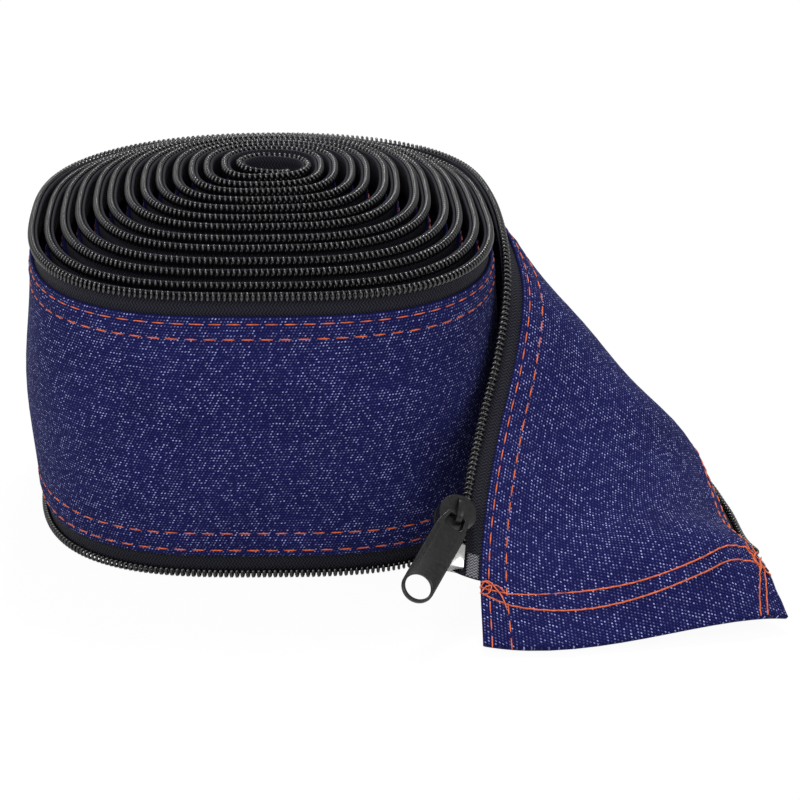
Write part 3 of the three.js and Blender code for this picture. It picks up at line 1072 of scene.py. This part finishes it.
def tooth_form(t: Tree, sizes: dict) -> Socket:
    """One turn of the coil: a flattened loop of nylon, x along, y across, z off the strip.

    Args:
        t: The tree that it is built in.
        sizes: Sockets of Width and Thickness over the loop, and Filament, its radius.

    Returns:
        The loop's geometry.
    """
    loop = t.add("GeometryNodeCurvePrimitiveCircle", {"Resolution": 10, "Radius": 1.0})
    half_w, half_t = (
        t.math("SUBTRACT", t.times(sizes[key], 0.5), sizes["Filament"])
        for key in ("Width", "Thickness")
    )
    stretch = {"Geometry": loop.outputs[0], "Scale": t.joined(half_w, half_t, 1.0)}
    flat = t.add("GeometryNodeTransform", stretch).outputs[0]
    upright = {"Geometry": flat, "Rotation": (math.pi / 2, 0, math.pi / 2)}
    stand = t.add("GeometryNodeTransform", upright).outputs[0]
    section = {"Resolution": 5, "Radius": sizes["Filament"]}
    wire = t.add("GeometryNodeCurvePrimitiveCircle", section).outputs[0]
    tube = {"Curve": stand, "Profile Curve": wire}
    return t.add("GeometryNodeCurveToMesh", tube).outputs[0]


def stitch_form(t: Tree, sizes: dict) -> Socket:
    """One stitch: a grain of thread of unit length along x.

    Args:
        t: The tree that it is built in.
        sizes: Socket of Thread, its thickness.

    Returns:
        The grain's geometry.
    """
    grain = t.add("GeometryNodeMeshUVSphere", {"Segments": 8, "Rings": 6, "Radius": 1.0}).outputs[0]
    lying = {"Geometry": grain, "Rotation": (0, math.pi / 2, 0)}
    turn = t.add("GeometryNodeTransform", lying).outputs[0]
    half = t.times(sizes["Thread"], 0.5)
    drawn = {"Geometry": turn, "Scale": t.joined(0.5, half, half)}
    return t.add("GeometryNodeTransform", drawn).outputs[0]


def laid_thread(strip: Strip, name: str, path: Array, radius: float) -> bpy.types.Object:
    """A closed tube of thread along a line on the strip.

    Args:
        strip: The sheet in space.
        name: Name of the piece.
        path: Rows of distance along the free end, height across and depth off, in millimetres.
        radius: Radius of the thread, in millimetres.

    Returns:
        The finished object.
    """
    askew, sides = np.array([0.31, 0.22, 0.92]), 6
    line = strip.at(strip.flap_place(path[:, 0]), path[:, 1], path[:, 2])
    ahead = unit(np.gradient(line, axis=0))
    side = unit(np.cross(ahead, askew))
    over = np.cross(ahead, side)
    turn = np.linspace(0, 2 * math.pi, sides, endpoint=False)[None, :, None]
    ring = side[:, None] * np.cos(turn) + over[:, None] * np.sin(turn)
    points = (line[:, None] + ring * radius * MM).reshape(-1, 3)
    last = (len(line) - 1) * sides
    i, j = np.meshgrid(np.arange(0, last, sides), np.arange(sides), indexing="ij")
    nxt = (j + 1) % sides
    quads = np.stack([i + j, i + nxt, i + sides + nxt, i + sides + j], -1).reshape(-1, 4)
    ends = [list(range(sides))[::-1], [last + a for a in range(sides)]]
    mesh = bpy.data.meshes.new(name)
    mesh.from_pydata(points.tolist(), [], quads.tolist() + ends)
    return link(mesh, name)


def smooth_line(knots: Array) -> Array:
    """Points every 0.4 mm along a smooth line.

    Args:
        knots: Rows of coordinates that it runs through, in millimetres.

    Returns:
        Rows of coordinates.
    """
    pitch = 0.4
    run = run_along(knots)
    slope = np.gradient(knots, run, axis=0)
    at = np.linspace(0, run[-1], int(run[-1] / pitch) + 2)
    i = np.clip(np.searchsorted(run, at, side="right") - 1, 0, len(run) - 2)
    gap = (run[i + 1] - run[i])[:, None]
    t = (at - run[i])[:, None] / gap
    a, b = knots[i], knots[i + 1]
    m, n = slope[i] * gap, slope[i + 1] * gap
    return a + t * (m + t * (3 * (b - a) - 2 * m - n + t * (2 * (a - b) + m + n)))


@dataclass(frozen=True)
class DenimSizes:
    """Form of the cloth and its stitches, in millimetres.

    Stitch rows are distances from the cloth's edge. Hem threads are knots of height across the
    strip and distance past the hem's fold. Creases are rows of length along, length across,
    phase and strength.
    """

    edge_levels: tuple = (0, 0.35, 0.9, 1.6, 2.2, 2.8, 3.6, 4.6, 5.6, 6.4, 6.9, 7.5, 8.2, 9.0, 11.0)
    middle_margin: float = 16.0
    middle_levels: int = 9
    lip: float = 0.35
    hem_step: float = 1.2
    fold_round: float = 0.45
    fold_spread: float = 0.5
    puff: float = 0.28
    puff_spread: float = 1.5
    dip: float = 0.22
    dip_spread: float = 0.55
    pucker: float = 0.3
    pucker_length: float = 7.3
    crease: float = 0.36
    creases: tuple = ((11.3, 23.0, 0.0, 1.0), (7.1, -15.0, 2.0, 0.7), (17.0, 9.0, 0.0, 1.0))
    crease_start: float = 380.0
    crease_ramp: float = 40.0
    rows_high: tuple = (2.2, 6.9)
    rows_low: tuple = (2.2, 8.2)
    rows_low_free: tuple = (1.5, 4.6)
    free_start: float = 2.25
    free_ramp: float = 0.25
    rows_start: float = 0.02
    rows_end: float = 2.995
    stitch_length: float = 4.0
    stitch_gap: float = 1.6
    stitch_lift: float = 0.12
    thread: float = 0.44
    hem_radius: float = 0.24
    hem_lift: float = 0.1
    hem_rows: tuple = (
        (
            (87.6, -1.4), (84, -0.8), (70, 0), (45, 0.9),
            (30, -1.6), (18, -5.2), (11.5, -4.8), (8.4, -2.2),
        ),
        (
            (87.6, 0.4), (84, 2.1), (70, 5.1), (45, 5.0),
            (30, 2.4), (18, -0.6), (11.5, 0.4), (8.4, 3.4),
        ),
        ((11.2, -1.0), (12.6, 3.5), (14.6, 8.5), (16.4, 15.6)),
        ((9.4, -1.0), (10.6, 3.5), (12.4, 8.5), (14.4, 15.6)),
    )
    loose_radius: float = 0.2
    loose_lift: float = 0.55
    loose_ends: tuple = (
        ((87.4, -2.6), (85.6, -3.4), (83.2, -1.2), (81.6, 2.0), (80.9, 4.6)),
        ((87.6, 0.9), (85.8, -1.6), (83.6, -2.4), (81.0, -0.8)),
        ((86.9, 1.6), (85.2, 0.2), (84.6, -2.2), (86.2, -3.0), (87.5, -0.9)),
        ((9.0, -5.0), (11.2, -3.2), (12.6, -0.4), (10.6, 1.6), (8.6, 0.2)),
        ((8.3, -3.2), (10.0, -0.8), (11.9, 1.9), (13.4, 4.2)),
        ((8.8, 3.6), (10.8, 1.0), (12.4, -2.2), (14.2, -4.9)),
    )
    thread_wave: float = 0.14
    thread_wave_length: float = 3.4


class Denim:
    """The cloth, its stitched edges and its hem."""

    def __init__(self, strip: Strip, looks: Looks, sizes: DenimSizes = DenimSizes()) -> None:
        """Keeps what it is laid on.

        Args:
            strip: The sheet in space.
            looks: Where materials come from.
            sizes: Form of the cloth.
        """
        self.strip, self.looks, self.sizes = strip, looks, sizes

    def thickness(self, places: Array, levels: Array) -> Array:
        """Depth of the outer face: puffed between the seams, dipped at them, thick at the hem.

        Args:
            places: Places along the strip.
            levels: Heights across it.

        Returns:
            Depths in millimetres, one row per place and one column per height.
        """
        s, z, flap = self.strip.sizes, self.sizes, self.strip.flap
        hem = ease(((places - 2) * flap.length - (flap.length - s.hem_length)) / z.hem_step)
        body = s.denim_thickness + (s.hem_thickness - s.denim_thickness) * hem[:, None]
        profile = np.zeros(len(levels))
        from_high, from_low = s.denim_high - levels, levels - s.denim_low
        for rows, away in ((z.rows_high, from_high), (z.rows_low, from_low)):
            middle = (rows[0] + rows[1]) / 2
            profile += z.puff * np.exp(-(((away - middle) / z.puff_spread) ** 2))
            for row in rows:
                profile -= z.dip * np.exp(-(((away - row) / z.dip_spread) ** 2))
            profile -= z.fold_round * np.exp(-((away / z.fold_spread) ** 2))
        wound = (places - 2) * -self.strip.inner_wind * self.strip.roll.radius
        run = np.where(places < 2, wound, (places - 2) * flap.length)[:, None]
        pucker = 1 + z.pucker * np.sin(run * 2 * math.pi / z.pucker_length)
        across = levels[None] - s.width / 2
        creases = sum(
            strength * np.sin(run / along + across / over + phase)
            for along, over, phase, strength in z.creases
        )
        outer_turns = ease((run + z.crease_start) / z.crease_ramp)
        shown = outer_turns * np.clip(1 - (across / (s.denim_width / 2)) ** 4, 0, 1)
        return body + profile[None] * pucker + z.crease * creases * shown

    def depths(self, places: Array, heights: Array) -> Array:
        """Depth of the outer face at pairs of place and height."""
        pairs = zip(places[:, None], heights[:, None])
        return np.array([self.thickness(place, height)[0, 0] for place, height in pairs])

    def build(self) -> None:
        """Makes the cloth and the thread."""
        s, z = self.strip.sizes, self.sizes
        edge = np.array(z.edge_levels)
        middle = (s.denim_low + z.middle_margin, s.denim_high - z.middle_margin)
        levels = np.concatenate([
            s.denim_low + edge, np.linspace(*middle, z.middle_levels), (s.denim_high - edge)[::-1]
        ])
        places = self.strip.stations()
        outer = self.thickness(places, levels)
        inner = np.zeros_like(outer)
        inner[:, 0] = inner[:, -1] = z.lip
        cloth = Band(self.strip, "denim_cloth").build(places, levels, outer, inner)
        settle(cloth, Body.SLEEVE, self.looks.get(INDIGO, dress_denim), ["denim_strip"])
        rows = self.edge_stitches() + self.hem_threads()
        self.strip.length()

    def edge_stitches(self) -> list:
        """Makes the two stitch rows along each edge.

        Returns:
            The four pieces.
        """
        s, z = self.strip.sizes, self.sizes
        scatter = Scatter("stitches", stitch_form, {"Thread": z.thread * MM})
        thread = self.looks.get(ORANGE, dress_thread)
        fold = self.strip.flap_place(self.strip.flap.length - s.hem_length - 1)
        high = [(s.denim_high - row, 0.0, z.rows_end) for row in z.rows_high]
        low = [
            (s.denim_low + row, row - free, fold)
            for row, free in zip(z.rows_low, z.rows_low_free)
        ]
        names = ("high_outer", "high_inner", "low_outer", "low_inner")
        made = []
        for name, (v, drawn, last) in zip(names, high + low):
            places = self.strip.spaced(z.rows_start, last, v, z.stitch_length + z.stitch_gap)
            heights = v - drawn * ease((places - z.free_start) / z.free_ramp)
            depth = self.depths(places, heights) + z.stitch_lift
            points, along, up, off = self.strip.frames(places, heights, depth)
            size = np.ones((len(points), 3))
            size[:, 0] = z.stitch_length * MM
            piece = scatter.make("stitches_" + name, points, (along, up, off), thread, size)
            settle(piece, Body.SLEEVE, thread)
            made.append(piece)
        return made

    def hem_threads(self) -> list:
        """Makes the rows across the hem, down its side, and the loose ends.

        Returns:
            The pieces.
        """
        s, z = self.strip.sizes, self.sizes
        thread = self.looks.get(ORANGE, dress_thread)
        fold = self.strip.flap.length - s.hem_length
        lines = [(knots, z.hem_radius, z.hem_lift) for knots in z.hem_rows]
        lines += [(knots, z.loose_radius, z.loose_lift) for knots in z.loose_ends]
        made = []
        for number, (knots, radius, lift) in enumerate(lines):
            path = smooth_line(np.array(knots, float))
            height, out = path[:, 0], fold + path[:, 1]
            wave = np.cos(2 * math.pi * run_along(path) / z.thread_wave_length)
            depth = self.depths(self.strip.flap_place(out), height) + lift + z.thread_wave * wave
            line = np.stack([out, height, depth], -1)
            piece = laid_thread(self.strip, f"hem_thread_{number}", line, radius)
            settle(piece, Body.SLEEVE, thread)
            made.append(piece)
        return made


@dataclass(frozen=True)
class ZipperSizes:
    """Form of the tapes, the coil and the films, in millimetres."""

    pitch: float = 1.67
    filament: float = 0.49
    lean: float = 0.42
    coil_extra: float = 0.3
    coil_start: float = 0.04
    box_gap: float = 0.5
    pin_gap: float = 1.0
    tape_gap: float = 0.06
    tape_extra: float = 0.2
    film_faces: tuple = (0.35, 0.02)
    film_margin: float = 0.5
    film_rings: int = 9
    film_levels: int = 5
    tape_levels: int = 7


class Zipper:
    """Both tapes and both rows of coil."""

    def __init__(self, strip: Strip, looks: Looks, sizes: ZipperSizes = ZipperSizes()) -> None:
        """Keeps what it is laid on.

        Args:
            strip: The sheet in space.
            looks: Where materials come from.
            sizes: Form of tape and coil.
        """
        self.strip, self.looks, self.sizes = strip, looks, sizes
        self.end = strip.zipper_end

    def tape(self, name: str, low: float, high: float, node: str) -> None:
        """Makes one tape.

        Args:
            name: Name of the piece.
            low: Height of its lower edge across the strip.
            high: Height of its upper edge.
            node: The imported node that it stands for.
        """
        places = self.strip.stations(0.0, self.strip.flap_place(self.end))
        levels = np.linspace(low, high, self.sizes.tape_levels)
        outer = np.full((len(places), len(levels)), -self.sizes.tape_gap)
        inner = outer - self.strip.sizes.tape_thickness - self.sizes.tape_extra
        piece = Band(self.strip, name).build(places, levels, outer, inner)
        settle(piece, Body.SLEEVE, self.looks.get(BLACK_TAPE, dress_tape), [node])

    def coil(self, name: str, v: float, end: float, node: str, flip: float) -> None:
        """Makes one row of teeth.

        Args:
            name: Name of the piece.
            v: Height of its middle across the strip.
            end: Distance along the free end at which it stops.
            node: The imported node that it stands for.
            flip: 1 or -1, the way that the teeth lean.
        """
        s, z = self.strip.sizes, self.sizes
        thick = s.coil_thickness + z.coil_extra
        sizes = {"Width": s.coil_width * MM, "Thickness": thick * MM, "Filament": z.filament * MM}
        scatter = Scatter("coil_" + name, tooth_form, sizes)
        places = self.strip.spaced(z.coil_start, self.strip.flap_place(end), v, z.pitch)
        middle = (s.coil_thickness - z.coil_extra) / 2
        points, along, up, off = self.strip.frames(places, v, middle)
        lean = unit(along + off * z.lean * flip)
        nylon = self.looks.get(NYLON, dress_grain(1500, 5e-5, 0.25))
        piece = scatter.make(name, points, (lean, up, np.cross(lean, up)), nylon)
        settle(piece, Body.SLEEVE, nylon, [node])

    def film(self, name: str, low: float, high: float, node: str) -> None:
        """Makes the film that stiffens one tape's end.

        Args:
            name: Name of the piece.
            low: Height of its lower edge across the strip.
            high: Height of its upper edge.
            node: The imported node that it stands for.
        """
        z, start = self.sizes, self.end - self.strip.sizes.film_length
        ends = (self.strip.flap_place(start), self.strip.flap_place(self.end))
        places = np.linspace(*ends, z.film_rings)
        levels = np.linspace(low, high, z.film_levels)
        outer, inner = (np.full((z.film_rings, z.film_levels), h) for h in z.film_faces)
        piece = Band(self.strip, name).build(places, levels, outer, inner)
        settle(piece, Body.SLEEVE, self.looks.get(FILM, dress_film), [node])

    def build(self) -> None:
        """Makes tapes, films and coils."""
        s, z = self.strip.sizes, self.sizes
        rim, margin = s.width - s.coil_width, z.film_margin
        self.film("film_upper", s.denim_high + margin, rim - margin, "tape_film_upper")
        self.film("film_lower", s.coil_width + margin, s.denim_low - margin, "tape_film_lower")
        upper = (s.denim_high - s.tape_lap, s.width - s.coil_overhang)
        lower = (s.coil_overhang, s.denim_low + s.tape_lap)
        self.tape("tape_upper", *upper, "zipper_tape_upper")
        self.tape("tape_lower", *lower, "zipper_tape_lower")
        box = self.end - s.box_length - z.box_gap
        pin = self.end - s.pin_length - z.pin_gap
        self.coil("coil_teeth_upper", s.width - s.coil_width / 2, box, "zipper_coil_upper", 1.0)
        self.coil("coil_teeth_lower", s.coil_width / 2, pin, "zipper_coil_lower", -1.0)


class Hardware:
    """Rigid pieces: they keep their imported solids, with rounded edges and real finishes."""

    ROUNDING = {
        "retainer_box": 0.25,
        "insertion_pin": 0.25,
        "top_stop_upper": 0.2,
        "top_stop_lower": 0.2,
    }

    def __init__(self, looks: Looks) -> None:
        """Keeps the materials.

        Args:
            looks: Where materials come from.
        """
        self.looks = looks

    def build(self) -> None:
        """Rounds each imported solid's edges and plates it."""
        nickel = self.looks.get(NICKEL, dress_grain(700, 2e-5, 0.3))
        for node, radius in self.ROUNDING.items():
            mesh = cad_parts[node].data.copy()
            with edited(mesh) as work:
                soften(work, radius)
            piece = link(mesh, node + "_finished", sharp=True)
            settle(piece, Body.SLEEVE, nickel, [node])


@dataclass(frozen=True)
class SliderSizes:
    """Form and place of the slider and its tab, in millimetres and degrees.

    The corners of the tab's head and window are rows of x, y and radius.
    """

    length: float = 11.4
    half: float = 5.7
    standoff: float = 3.0
    offset: float = 1.2
    top: float = 3.9
    crown_length: float = 8.2
    crown_height: float = 3.3
    crown_wall: float = 1.15
    tab_length: float = 32.6
    tab_half: float = 5.0
    tab_hole: float = 4.05
    tab_bar: float = 1.2
    tab_thickness: float = 1.5
    tab_slack: float = 0.95
    tab_skew: float = 20.0
    tab_lift: float = 2.0
    edge: float = 0.32
    cut_length: float = 1.03
    cut_width: float = 1.01
    cut_depth: float = 40.0
    head: tuple = ((-5.6, -5.0, 2.4), (0.6, -3.4, 2.2), (0.6, 3.4, 2.2), (-5.6, 5.0, 2.4))
    window: tuple = ((-0.6, -2.3, 0.6), (-4.9, -3.1, 1.6), (-4.9, 3.1, 1.6), (-0.6, 2.3, 0.6))


class Slider:
    """The slider's round body and the tab hung in its crown."""

    def __init__(self, strip: Strip, looks: Looks, sizes: SliderSizes = SliderSizes()) -> None:
        """Works out the slider's frame: x up the zipper, y past the edge, z off the strip.

        Args:
            strip: The sheet in space.
            looks: Where materials come from.
            sizes: Form of slider and tab.
        """
        self.strip, self.looks, self.sizes = strip, looks, sizes
        at = strip.zipper_end - strip.sizes.box_length - sizes.standoff - sizes.length / 2
        place = np.array([strip.flap_place(at)])
        point, along, up = (a[0] for a in strip.frames(place, strip.sizes.width, 0.0)[:3])
        turn = Matrix(np.stack([-along, up, np.cross(-along, up)], 1).tolist()).to_4x4()
        origin = point + up * sizes.offset * MM
        self.matrix = Matrix.Translation(origin.tolist()) @ turn

    def material(self) -> bpy.types.Material:
        """Satin black lacquer."""
        return self.looks.get(LACQUER, dress_grain(900, 1.2e-5, 0.3))

    def body(self) -> None:
        """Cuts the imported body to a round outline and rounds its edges."""
        z = self.sizes
        block = placed("slider_block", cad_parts["slider_body"].data.copy())
        wide = Matrix.Diagonal((z.length / 2 * MM * z.cut_length, z.half * MM * z.cut_width, 1, 1))
        cutter_mesh = bpy.data.meshes.new("round")
        with edited(cutter_mesh) as work:
            bmesh.ops.create_cone(
                work, cap_ends=True, segments=72, radius1=1.0, radius2=1.0,
                depth=z.cut_depth * MM, matrix=self.matrix @ wide,
            )
        cutter = placed("round", cutter_mesh)
        cut = block.modifiers.new("cut", "BOOLEAN")
        cut.operation, cut.object, cut.solver = "INTERSECT", cutter, "EXACT"
        made = evaluated(block)
        bpy.data.objects.remove(cutter)
        with edited(made) as work:
            soften(work, z.edge)
        piece = link(made, "slider_round", sharp=True)
        settle(piece, Body.SLIDER, self.material(), ["slider_body"])

    @staticmethod
    def outline(corners: Sequence[tuple]) -> list:
        """Points of a closed line whose corners are rounded to their own radius.

        Args:
            corners: Rows of x, y and radius, in order round the line.

        Returns:
            Nine points for each corner.
        """
        points = []
        for k, (x, y, radius) in enumerate(corners):
            here = np.array([x, y])
            before = unit(np.array(corners[k - 1][:2]) - here)
            after = unit(np.array(corners[(k + 1) % len(corners)][:2]) - here)
            for t in np.linspace(0, 1, 9):
                points.append(here + before * radius * (1 - t) ** 2 + after * radius * t**2)
        return points

    @staticmethod
    def arc(x: float, radius: float, angles: Array) -> list:
        """Points round a centre on the x axis, at these angles."""
        return [(x + radius * math.cos(a), radius * math.sin(a)) for a in angles]

    def tab(self) -> None:
        """Makes the flat tab with its window and round hole."""
        z = self.sizes
        half, tip = z.tab_half, z.tab_half - z.tab_length
        end = self.arc(tip, half, np.linspace(math.pi / 2, 3 * math.pi / 2, 40))
        # The head's line starts and ends on the round end, whose own points stand there instead.
        head = self.outline([(tip, -half, 0), *z.head, (tip, half, 0)])[9:-9]
        hole = self.arc(tip, z.tab_hole, np.linspace(0, 2 * math.pi, 56)[:-1])
        curve = bpy.data.curves.new("tab", "CURVE")
        curve.dimensions, curve.fill_mode = "2D", "BOTH"
        curve.bevel_depth, curve.bevel_resolution, curve.offset = z.edge * MM, 2, -z.edge * MM
        curve.extrude = (z.tab_thickness / 2 - z.edge) * MM
        for line in (end + head, hole, self.outline(z.window)):
            spline = curve.splines.new("POLY")
            spline.points.add(len(line) - 1)
            spline.points.foreach_set("co", [c for x, y in line for c in (x * MM, y * MM, 0, 1)])
            spline.use_cyclic_u = True
        made = evaluated(placed("tab", curve))
        with edited(made) as work:
            bmesh.ops.remove_doubles(work, verts=work.verts, dist=2e-6)
            bmesh.ops.recalc_face_normals(work, faces=work.faces)
        pivot = (
            -z.crown_length / 2 + z.crown_wall + z.tab_bar / 2 + z.tab_slack,
            0,
            z.top + (z.crown_height - z.crown_wall) / 2,
        )
        skew = Matrix.Rotation(-math.radians(z.tab_skew), 4, "Z")
        lift = Matrix.Rotation(math.radians(z.tab_lift), 4, "Y")
        made.transform(self.matrix @ Matrix.Translation(Vector(pivot) * MM) @ skew @ lift)
        piece = link(made, "tab_flat", sharp=True)
        settle(piece, Body.TAB, self.material(), ["pull_tab"])

    def build(self) -> None:
        """Makes slider and tab."""
        self.body()
        self.tab()


@dataclass(frozen=True)
class SoftBox:
    """A square lamp: its place and side in metres and its power in watts."""

    name: str
    at: tuple
    size: float
    power: float


class Studio:
    """Floor, lights and camera. None of it is part of the object."""

    LENS = 139.7
    DISTANCE = 1.0
    ELEVATION = 25.0
    TARGET = (0.0405, 0.0, 0.0288)
    LAMPS = (
        SoftBox("key", (-0.7, -0.9, 1.2), 0.9, 14.0),
        SoftBox("fill", (1.1, -0.8, 0.8), 0.7, 5.0),
        SoftBox("top", (0.05, 0.55, 1.25), 0.28, 13.0),
    )
    AIM = (0, 0, 0.04)
    FLOOR_HALF = 3.0
    FLOOR_LEVEL = -0.0002
    FLOOR_GREY = 0.8
    FLOOR_GLOW = 0.95
    AMBIENT = 0.55

    def __init__(self, shift: Vector) -> None:
        """Keeps the frame's offset.

        Args:
            shift: Offset from the roll's frame to the part's.
        """
        self.shift = Vector(shift)

    def camera(self) -> None:
        """Puts the camera at the photograph's viewpoint."""
        target = Vector(self.TARGET) + self.shift
        tilt = math.radians(self.ELEVATION)
        data = bpy.data.cameras.new("camera")
        data.lens, data.sensor_width = self.LENS, 36.0
        data.clip_start, data.clip_end = 0.05, 20.0
        camera = placed("camera", data)
        camera.location = target + Vector((0, -math.cos(tilt), math.sin(tilt))) * self.DISTANCE
        camera.rotation_euler = (math.pi / 2 - tilt, 0, 0)
        bpy.context.scene.camera = camera

    def lamp(self, box: SoftBox) -> None:
        """Adds a lamp aimed at the object.

        Args:
            box: Its name, place, side and power.
        """
        data = bpy.data.lights.new(box.name, "AREA")
        data.shape, data.size, data.energy = "SQUARE", box.size, box.power
        lamp = placed(box.name, data)
        lamp.location = box.at
        lamp.rotation_mode = "QUATERNION"
        lamp.rotation_quaternion = (Vector(self.AIM) - Vector(box.at)).to_track_quat("-Z", "Y")

    def floor(self) -> None:
        """Adds a pale floor that stays nearly white to the camera."""
        half, level = self.FLOOR_HALF, self.FLOOR_LEVEL
        mesh = bpy.data.meshes.new("floor")
        corners = [(x * half, y * half, level) for x, y in ((-1, -1), (1, -1), (1, 1), (-1, 1))]
        mesh.from_pydata(corners, [], [(0, 1, 2, 3)])
        floor = placed("floor", mesh)
        material = bpy.data.materials.new("floor_white")
        material.use_nodes = True
        material.node_tree.nodes.clear()
        t = Tree(material.node_tree)
        diffuse = t.add("ShaderNodeBsdfDiffuse", {"Color": (*[self.FLOOR_GREY] * 3, 1)})
        glow = t.add("ShaderNodeEmission", {"Color": (1, 1, 1, 1), "Strength": 1.0})
        ray = t.add("ShaderNodeLightPath")
        share = t.times(ray.outputs["Is Camera Ray"], self.FLOOR_GLOW)
        blend = t.add("ShaderNodeMixShader", {0: share, 1: diffuse.outputs[0], 2: glow.outputs[0]})
        out = t.add("ShaderNodeOutputMaterial", {"Surface": blend.outputs[0]})
        out.is_active_output = True
        mesh.materials.append(material)

    def world(self) -> None:
        """White to the camera, soft grey light to everything else."""
        world = bpy.data.worlds.new("studio")
        bpy.context.scene.world = world
        world.use_nodes = True
        t = Tree(world.node_tree)
        ray = t.add("ShaderNodeLightPath")
        seen = t.math("MAXIMUM", ray.outputs["Is Camera Ray"], ray.outputs["Is Transmission Ray"])
        strength = t.total(t.times(seen, 1 - self.AMBIENT), self.AMBIENT)
        back = world.node_tree.nodes["Background"]
        back.inputs[0].default_value = (1, 1, 1, 1)
        t.wire(strength, back.inputs[1])

    def build(self) -> None:
        """Sets up the whole studio."""
        self.camera()
        self.floor()
        self.world()
        for box in self.LAMPS:
            self.lamp(box)
        view = bpy.context.scene.view_settings
        view.view_transform, view.look = "Standard", "None"


def main() -> None:
    """Builds every piece and the studio."""
    looks = Looks()
    strip = Strip(StripSizes(), RollSizes(), FlapSizes(), SHIFT)
    log.info("strip length %.3f m", strip.length())
    Denim(strip, looks).build()
    Zipper(strip, looks).build()
    Hardware(looks).build()
    Slider(strip, looks).build()
    Studio(SHIFT).build()


if __name__ == "__main__":
    main()
